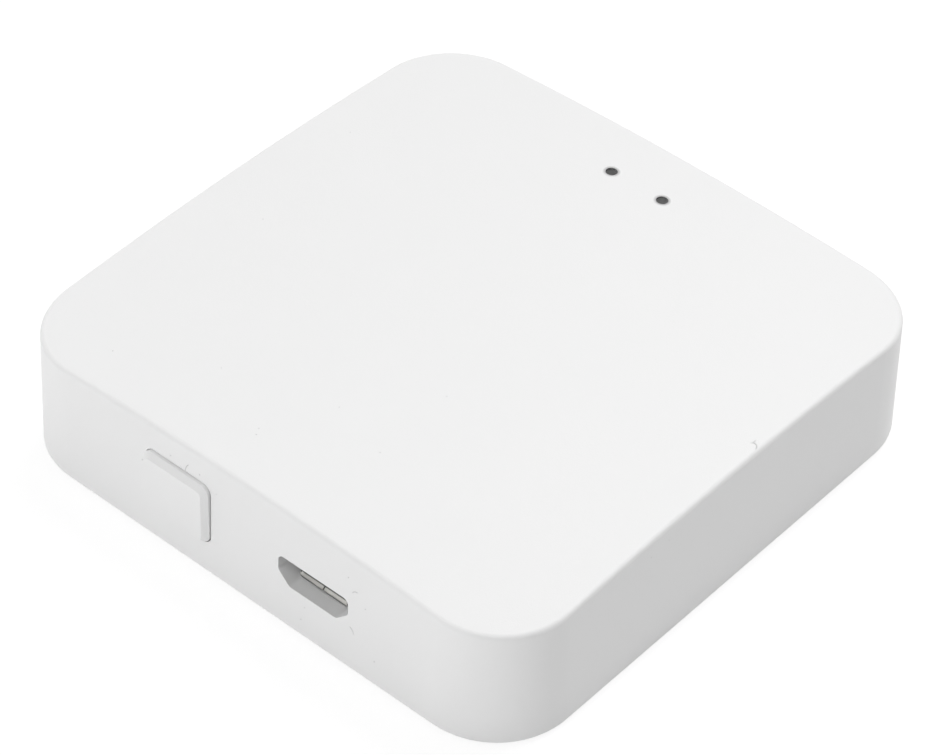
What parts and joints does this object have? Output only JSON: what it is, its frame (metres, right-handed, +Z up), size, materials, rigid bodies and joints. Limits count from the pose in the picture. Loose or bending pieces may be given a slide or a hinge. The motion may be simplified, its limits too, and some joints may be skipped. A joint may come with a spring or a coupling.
{
  "type": "smart home radio gateway",
  "caption": "Small square white plastic gateway with a crowned top, a push button and a micro-USB power socket in its front wall and two indicator windows on top.",
  "frame": {"origin": "on the surface that the gateway stands on, under the middle of its casing", "axes": "+X runs to the right along the front wall, +Y runs from the front wall with the button and socket to the rear, +Z is up"},
  "size_m": [0.06, 0.0605, 0.0152],
  "materials": {
    "shell_plastic": "fine matte spark texture",
    "button_plastic": "fine matte spark texture",
    "base_plastic": "fine matte",
    "foot_rubber": "matte",
    "board_mask": "satin solder mask",
    "module_mask": "satin solder mask",
    "can_metal": "satin tinned",
    "socket_metal": "bright tinned",
    "socket_plastic": "satin",
    "contact_metal": "gold flash",
    "track_copper": "plated copper",
    "screw_steel": "zinc",
    "switch_plastic": "satin",
    "plunger_plastic": "satin",
    "rod_clear": "clear polycarbonate",
    "lamp_case": "moulded",
    "part_black": "moulded",
    "can_aluminium": "drawn",
    "ceramic_tan": "fired"
  },
  "bodies": {
    "housing": {"top_shell": "shell_plastic", "base_plate": "base_plastic", "main_board": "board_mask", "usb_shell": "socket_metal", "usb_insulator": "socket_plastic", "switch_base": "switch_plastic", "switch_cover": "socket_metal", "switch_dome": "socket_metal", "switch_terminal_left": "contact_metal", "switch_terminal_right": "contact_metal", "voltage_regulator": "part_black", "regulator_leads": "can_metal", "power_coil": "part_black", "capacitor_can": "can_aluminium", "capacitor_foot": "part_black", "power_diode": "part_black", "board_screws": "screw_steel", "foot_front_left": "foot_rubber", "foot_front_right": "foot_rubber", "foot_rear_left": "foot_rubber", "foot_rear_right": "foot_rubber", "lamp_left": "lamp_case", "lamp_right": "lamp_case", "light_rod_left": "rod_clear", "light_rod_right": "rod_clear", "wifi_board": "module_mask", "wifi_shield": "can_metal", "wifi_chip": "part_black", "wifi_antenna": "track_copper", "zigbee_board": "module_mask", "zigbee_shield": "can_metal", "zigbee_chip": "part_black", "zigbee_antenna": "track_copper", "usb_contact_1": "contact_metal", "usb_contact_2": "contact_metal", "usb_contact_3": "contact_metal", "usb_contact_4": "contact_metal", "usb_contact_5": "contact_metal", "ceramic_capacitor_1": "ceramic_tan", "resistor_1": "part_black", "ceramic_capacitor_2": "ceramic_tan", "resistor_2": "part_black", "ceramic_capacitor_3": "ceramic_tan", "resistor_3": "part_black", "ceramic_capacitor_4": "ceramic_tan", "resistor_4": "part_black", "ceramic_capacitor_5": "ceramic_tan", "resistor_5": "part_black", "ceramic_capacitor_6": "ceramic_tan", "resistor_6": "part_black"},
    "button": {"button_cap": "button_plastic", "switch_plunger": "plunger_plastic"}
  },
  "joints": [
    {"name": "button_press", "type": "slide", "parent": "housing", "child": "button", "axis": [0, 1, 0], "range_m": [0, 0.00025], "stiffness_N_per_m": 4000, "springref_m": -0.0001, "deforming": ["switch_dome"]}
  ]
}
